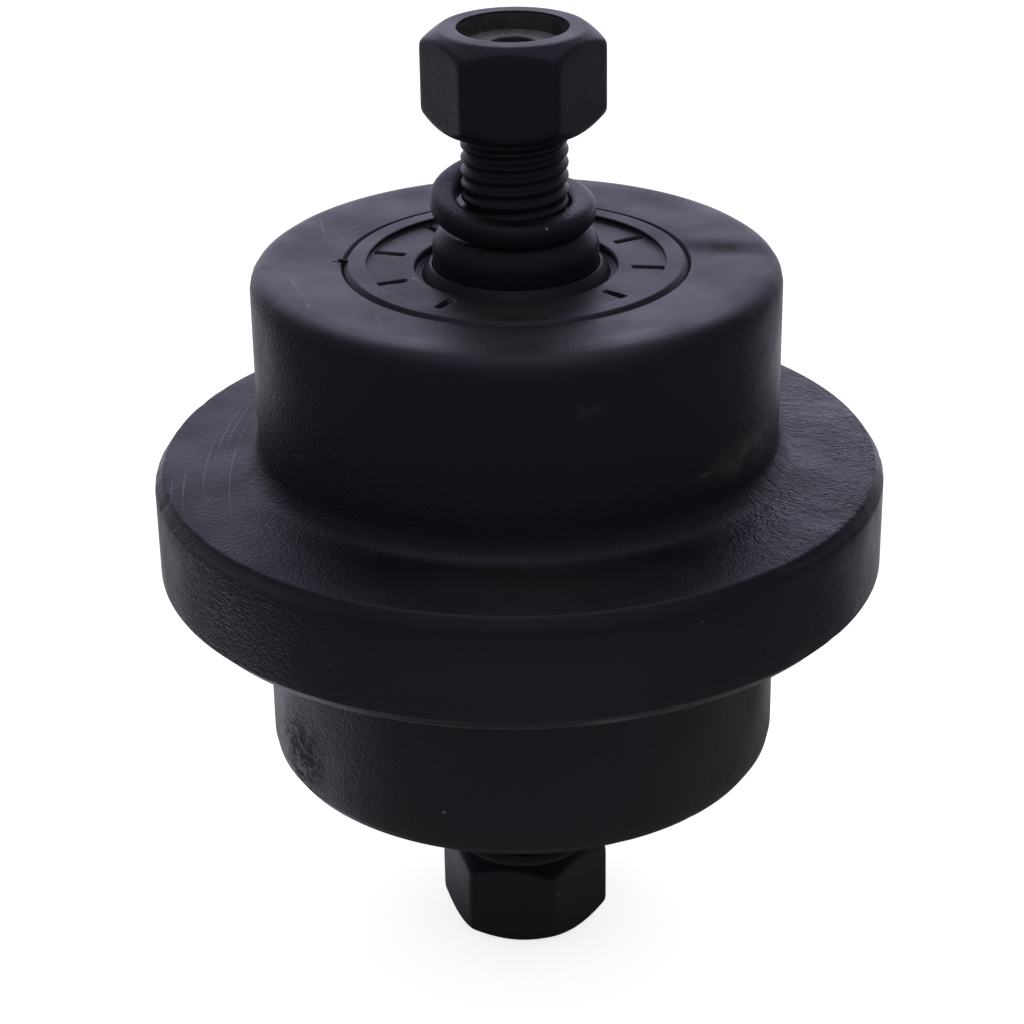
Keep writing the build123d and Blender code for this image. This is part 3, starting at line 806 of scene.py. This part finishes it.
def shell_marks_and_painted_light(tree, place):
    """Marks of the roller's shell. The flange's right side is wrinkled, turning lines go round, and the left side
    is coarser and streaked. Long scratches lie on the flange and the end face, the flange's edges are worn, and
    there are a stain and a dull patch on the right and scuffs below. Painted light: the parts that face the
    viewer are paler, the worn lower edge is paler at the left and right, and the rim's scuffs and the upper
    flange edge are paler on the left, where light catches them."""
    turned = turned_place(tree, place)
    cosine, sine, radius, height = turned
    upper_side = between(tree, height, 8.6 * mm, 9.0 * mm)
    on_flange = multiplied(tree, upper_side, between(tree, height, 11.2 * mm, 13.0 * mm, 1.0, 0.0))
    on_wall = between(tree, radius, 39.2 * mm, 39.8 * mm)
    on_rim = between(tree, radius, 55.6 * mm, 56.1 * mm)
    right = between(tree, cosine, 0.5, 1.0)
    left = between(tree, cosine, -0.85, -0.35, 1.0, 0.0)
    wrinkles = grain(tree, drawn_out(tree, turned, 62, 1200, 1200), 1.0, detail=2, distortion=0.8)
    uneven = between(tree, grain(tree, place, 160, detail=2), 0.35, 0.6, 0.35, 1.0)
    mostly_right = work_out(tree, "MULTIPLY_ADD", right, 0.95, 0.05)
    wrinkle_height = multiplied(tree, wrinkles, on_flange, uneven, mostly_right)
    coarse = grain(tree, place, 1700, detail=2, roughness=0.6)
    off_flange = work_out(tree, "MULTIPLY_ADD", on_flange, -0.25, 1.0)
    more_on_left = work_out(tree, "MULTIPLY_ADD", left, 0.7, 0.3)
    coarse_height = multiplied(tree, coarse, on_wall, off_flange, more_on_left)
    streaks = grain(tree, drawn_out(tree, turned, 26, 300, 2400), 1.0, detail=2)
    mostly_left = work_out(tree, "MULTIPLY_ADD", left, 0.85, 0.15)
    streak_height = multiplied(tree, streaks, on_rim, mostly_left)
    rings = grain(tree, drawn_out(tree, turned, 1.6, 2600, 2600), 1.0, detail=2)
    scuffed = grain(tree, drawn_out(tree, turned, 24, 900, 900), 1.0, detail=4, roughness=0.7)
    low_scuff = patch(tree, place, (-34.6, -20, -33), (9, 17, 11), -0.55)
    scuff_height = multiplied(tree, low_scuff, scuffed)
    staking = patch(tree, place, (-27.0, 0.5, 40.6), (0.9, 0.5, 1), -0.2)
    layers = [
        (wrinkle_height, 0.0006),
        (coarse_height, 0.00022),
        (streak_height, 0.00016),
        (rings, 0.00001),
        (scuff_height, 0.0008),
        (staking, -0.0006),
    ]
    arcs = strongest(tree, *(arc_scratch(tree, place, *arc) for arc in flange_arcs))
    broken = between(tree, grain(tree, place, 260, detail=2), 0.3, 0.6, 0.3, 1.0)
    arcs = multiplied(tree, arcs, broken, on_flange)
    straight = strongest(tree, *(straight_scratch(tree, place, *ends) for ends in face_scratches))
    fine_arcs = grain(tree, drawn_out(tree, turned, 0.7, 1500, 1500), 1.0, detail=0)
    fine_lines = multiplied(tree, lines_of(tree, fine_arcs, 0.5, 0.04), between(tree, cosine, 0.55, 0.9))
    outer_part = between(tree, radius, 49 * mm, 51 * mm)
    fine_lines = multiplied(tree, fine_lines, outer_part)
    low_edge = patch(tree, place, (0, 0, -9.2), (all_round, all_round, 1.0))
    off_tread = between(tree, radius, 53.7 * mm, 54.1 * mm)
    worn = multiplied(tree, low_edge, off_tread, between(tree, scuffed, 0.3, 0.6))
    # The worn lower edge is paler at the left and right: real wear, with painted highlight where light grazes the
    # sides.
    worn_and_lit_sides = between(tree, work_out(tree, "ABSOLUTE", cosine), 0.3, 0.85, 0.25, 0.9)
    top_edge = patch(tree, place, (0, 0, 7.8), (all_round, all_round, 1.6))
    top_edge = multiplied(tree, top_edge, between(tree, radius, 54.2 * mm, 54.8 * mm))
    speckle = between(tree, grain(tree, place, 2600, detail=2, roughness=0.6), 0.35, 0.7)
    far_left = between(tree, cosine, -1.0, -0.6, 1.0, 0.0)
    # Pale speckled scuffs on the rim, kept to the far left, where they also serve as painted highlight.
    rim_scuffs_and_highlight = multiplied(tree, on_rim, far_left, speckle, between(tree, streaks, 0.35, 0.65))
    # Painted light: the front is paler where it faces the viewer.
    painted_front_lights = [multiplied(tree, patch(tree, place, middle, reach), amount) for middle, reach, amount in painted_front_light_patches]
    painted_front_light = strongest(tree, *painted_front_lights)
    edge_smear = patch(tree, place, (12.6, -53.3, -8.4), (7, 3, 1.3), 0.23)
    nicks = patch(tree, place, (-54.6, -13.4, 8), (2.5, 4, 2.2))
    smudge = patch(tree, place, (9.9, -38.8, 32.4), (3.5, 3, 2.6))
    small_scuffs = strongest(tree, nicks, multiplied(tree, smudge, 0.4), multiplied(tree, low_scuff, 0.6))
    scuffs = multiplied(tree, small_scuffs, between(tree, scuffed, 0.45, 0.62))
    bare_metal_and_painted_light = strongest(
        tree,
        multiplied(tree, arcs, 0.4),
        multiplied(tree, straight, 0.3),
        multiplied(tree, fine_lines, 0.09),
        multiplied(tree, worn, worn_and_lit_sides),
        multiplied(tree, scuffs, 0.16),
        multiplied(tree, rim_scuffs_and_highlight, 0.4),
        painted_front_light,
        multiplied(tree, edge_smear, 0.35),
        # Painted highlight: the upper flange edge is paler on the left side.
        multiplied(tree, top_edge, left, 0.1),
    )
    stain_turn = math.radians(57)
    stain = patch(tree, place, (35.1, -19.2, 18.5), (17, 8, 4.8), stain_turn)
    stain = multiplied(tree, stain, between(tree, grain(tree, place, 300, detail=4), 0.3, 0.6))
    streak = patch(tree, place, (26.8, -29.7, 18.5), (3, 4, 0.7), math.radians(41))
    dust = strongest(tree, stain, multiplied(tree, streak, 0.6))
    dull_patch = patch(tree, place, (31.5, 4.2, 40.8), (13, 4.5, 4), math.radians(-16))
    mottled = between(tree, grain(tree, place, 250, detail=3), 0.25, 0.6, 0.5, 1.0)
    dull_patch = multiplied(tree, dull_patch, mottled)
    dull_specks = between(tree, scuffed, 0.4, 0.58)
    dull = strongest(
        tree,
        multiplied(tree, dull_patch, 0.22),
        multiplied(tree, low_scuff, dull_specks, 0.36),
        multiplied(tree, on_flange, left, 0.065),
    )
    return layers, bare_metal_and_painted_light, dust, dull


def nut_dust_and_painted_light(tree, place):
    """Marks of a nut: thin grey dust in the countersink of the mouth, where little paint reached. On the lower nut
    a pale ring on the bearing face is painted light, lifting the shade under the roller and the spring washer."""
    turned = turned_place(tree, place)
    inside = between(tree, turned[2], nut_mouth_radius - 0.05 * mm, nut_mouth_radius + 0.1 * mm, 1.0, 0.0)
    dusty = between(tree, grain(tree, place, 500, detail=3), 0.3, 0.7, 0.5, 0.9)
    scratched = grain(tree, drawn_out(tree, turned, 3, 1500, 1500), 1.0, detail=2)
    # Painted light: a pale ring on the lower nut's bearing face, where the roller and washer shade it.
    mark_amount = patch(tree, place, (0, 0, lower_nut_top / mm), (all_round, all_round, 1.6))
    mark_amount = multiplied(tree, mark_amount, between(tree, turned[2], 10.9 * mm, 11.1 * mm, 0.3, 0.0))
    bare_metal_and_painted_light = strongest(tree, mark_amount, multiplied(tree, inside, dusty, 0.22))
    return [(scratched, 0.00002)], bare_metal_and_painted_light, None, 0.0


def shaft_marks(tree, place):
    """Marks of the shaft: the cut ends of its studs are given a lighter, mottled grey."""
    height = turned_place(tree, place)[3]
    ends = between(tree, work_out(tree, "ABSOLUTE", height), stud_height - 0.3 * mm, stud_height - 0.1 * mm)
    mark_amount = between(tree, grain(tree, place, 900, detail=3), 0.3, 0.7, 0.25, 0.4)
    return [], multiplied(tree, ends, mark_amount), None, 0.0


def washer_marks(tree, place):
    """Mark of the upper spring washer: a small chip in the paint of its side, at the right of the front."""
    chip = patch(tree, place, (4.5, -11.3, 49.6), (0.35, 0.35, 0.35))
    return [], chip, None, 0.0


def seal_painted_light(tree, place):
    """Painted light on a seal: a paler colour on its web where it faces the viewer."""
    painted_front_light = patch(tree, place, (0, -19, 40.3), (22, 10, 4))
    return [], multiplied(tree, painted_front_light, 0.075), None, 0.0


shell_paint = black_paint("roller_paint", peel_depth=0.000026, extra=shell_marks_and_painted_light)
roller_shell.data.materials.append(shell_paint)
stake_burr.data.materials.append(shell_paint)
roller_shaft.data.materials.append(black_paint("shaft_paint", extra=shaft_marks))
for name in ("upper_hexagon_nut", "lower_hexagon_nut"):
    bpy.data.objects[name].data.materials.append(black_paint(f"{name}_paint", extra=nut_dust_and_painted_light))
for name in ("upper_lock_washer", "lower_lock_washer"):
    coat = black_paint(f"{name}_paint", peel_depth=0.00009, extra=washer_marks)
    bpy.data.objects[name].data.materials.append(coat)
for name in ("upper_shaft_seal", "lower_shaft_seal"):
    rubber = black_paint(f"{name}_rubber", roughness=0.45, peel_depth=0.00002, extra=seal_painted_light)
    bpy.data.objects[name].data.materials.append(rubber)

# Bearings, cages, circlips and garter springs: plain steel, sealed in behind the seals.
# Races and balls are ground bright, cages are pressed from sheet, and spring steel is darker with oil.
steels = {
    "race": ((0.52, 0.52, 0.53, 1), 0.22, 9000),
    "ball": ((0.58, 0.58, 0.59, 1), 0.1, 3000),
    "cage": ((0.45, 0.45, 0.44, 1), 0.35, 1500),
    "circlip": ((0.12, 0.115, 0.11, 1), 0.4, 1200),
    "garter": ((0.3, 0.29, 0.28, 1), 0.3, 2500),
}
for kind, (colour, roughness, fineness) in steels.items():
    finish, tree, shader, place = new_finish(f"{kind}_steel", colour, roughness)
    shader.inputs["Metallic"].default_value = 1.0
    mark_amount = grain(tree, place, fineness)
    tree.links.new(between(tree, mark_amount, 0.3, 0.7, roughness * 0.7, roughness * 1.4), shader.inputs["Roughness"])
    raised(tree, shader, [(mark_amount, 0.000004)])
    for node_name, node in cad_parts.items():
        if kind in node_name:
            node.data.materials.clear()
            node.data.materials.append(finish)

# Studio: a small pale table under the lower nut and a white paper sweep behind it, in a dim room.
# The viewer sees white wherever there is nothing, and the table keeps the roller's shadow.
table_height = lower_nut_base - 0.05 * mm
table_radius = 0.13
table_white = (0.8, 0.8, 0.8, 1)
table_bounce = (0.36, 0.36, 0.32, 1)
white_begins = -5 * mm
white_is_full = 50 * mm
backward_share = 0.87
leftward_share = 0.5
table_edges = 96
table_turn = np.arange(table_edges) * (2 * math.pi / table_edges)
table_rim = np.stack([np.cos(table_turn), np.sin(table_turn), np.zeros(table_edges)], axis=1) * table_radius
table_rim[:, 2] = table_height
table_mesh = bpy.data.meshes.new("table")
table_mesh.from_pydata(table_rim.tolist(), [], [list(range(table_edges))])
table = bpy.data.objects.new("table", table_mesh)
bpy.context.scene.collection.objects.link(table)


def seen_rays(tree):
    """Two numbers: the first is 1 on rays that show the background, straight or in metal or glass, and 0 on rays
    that only light a piece, and the second is 1 on straight rays alone."""
    rays = tree.nodes.new("ShaderNodeLightPath")
    seen = work_out(tree, "MAXIMUM", rays.outputs["Is Camera Ray"], rays.outputs["Is Glossy Ray"])
    seen = work_out(tree, "MAXIMUM", seen, rays.outputs["Is Transmission Ray"])
    return seen, rays.outputs["Is Camera Ray"]


finish, tree, shader, place = new_finish("pale_table", table_white, 0.9)
shader.inputs["Specular IOR Level"].default_value = 0.0
across_table = tree.nodes.new("ShaderNodeSeparateXYZ")
tree.links.new(place, across_table.inputs[0])
backward = multiplied(tree, across_table.outputs[1], backward_share)
back_left = work_out(tree, "MULTIPLY_ADD", across_table.outputs[0], -leftward_share, backward)
behind = between(tree, back_left, white_begins, white_is_full)
seen, straight = seen_rays(tree)
table_glow = 0.75
glow = multiplied(tree, work_out(tree, "MAXIMUM", multiplied(tree, seen, behind), straight), table_glow)
shader.inputs["Emission Color"].default_value = (1, 1, 1, 1)
tree.links.new(glow, shader.inputs["Emission Strength"])
tree.links.new(blended(tree, straight, table_bounce, table_white), shader.inputs["Base Color"])
under_side = tree.nodes.new("ShaderNodeNewGeometry").outputs["Backfacing"]
see_through = tree.nodes.new("ShaderNodeBsdfTransparent")
either = tree.nodes.new("ShaderNodeMixShader")
tree.links.new(under_side, either.inputs[0])
tree.links.new(shader.outputs[0], either.inputs[1])
tree.links.new(see_through.outputs[0], either.inputs[2])
tree.links.new(either.outputs[0], tree.nodes["Material Output"].inputs["Surface"])
table_mesh.materials.append(finish)

plain_level = 0.55
room_level = 0.092
overhead_level = 0.33
sweep_level = 1.22
sweep_bearings = (math.radians(16), math.radians(57))
sweep_rises = (math.sin(math.radians(24)), math.sin(math.radians(70)))
overhead_rises = (math.sin(math.radians(48)), math.sin(math.radians(72)))
sky_colour = (0.93, 0.93, 1.04, 1)
studio = bpy.data.worlds.new("studio")
bpy.context.scene.world = studio
studio.use_nodes = True
tree = studio.node_tree
air = tree.nodes["Background"]
place = tree.nodes.new("ShaderNodeTexCoord").outputs["Generated"]
split = tree.nodes.new("ShaderNodeSeparateXYZ")
tree.links.new(place, split.inputs[0])
x, y, z = split.outputs
bearing = work_out(tree, "ARCTAN2", work_out(tree, "ABSOLUTE", x), y)
across = between(tree, bearing, *sweep_bearings, 1.0, 0.0)
upwards = between(tree, z, *sweep_rises, 1.0, 0.0)
overhead = between(tree, z, *overhead_rises, room_level, overhead_level)
sweep = work_out(tree, "MULTIPLY", across, upwards)
shown = work_out(tree, "MULTIPLY_ADD", sweep, work_out(tree, "SUBTRACT", sweep_level, overhead), overhead)
seen, straight = seen_rays(tree)
shown = work_out(tree, "MULTIPLY_ADD", seen, work_out(tree, "SUBTRACT", shown, plain_level), plain_level)
shown = work_out(tree, "MAXIMUM", shown, straight)
tree.links.new(shown, air.inputs["Strength"])
reflected = work_out(tree, "SUBTRACT", seen, straight)
above_table = between(tree, z, -0.15, 0.15)
cool = blended(tree, multiplied(tree, reflected, above_table), (1, 1, 1, 1), sky_colour)
tree.links.new(cool, air.inputs["Color"])


def soft_lamp(name, place, width, height, power):
    """A rectangular soft lamp at a place, facing the roller's middle. It lights but shows in no reflection."""
    lamp = bpy.data.lights.new(name, "AREA")
    lamp.shape = "RECTANGLE"
    lamp.size = width
    lamp.size_y = height
    lamp.energy = power
    holder = bpy.data.objects.new(name, lamp)
    bpy.context.scene.collection.objects.link(holder)
    holder.visible_glossy = False
    facing = np.array(place) / np.linalg.norm(place)
    across = np.cross([0, 0, 1], facing)
    across /= np.linalg.norm(across)
    matrix = np.eye(4)
    matrix[:3, 0] = across
    matrix[:3, 1] = np.cross(facing, across)
    matrix[:3, 2] = facing
    matrix[:3, 3] = place
    holder.matrix_world = matrix.T.tolist()


soft_lamp("top_lamp", place=(0.05, 0.35, 0.9), width=0.8, height=0.8, power=2.0)
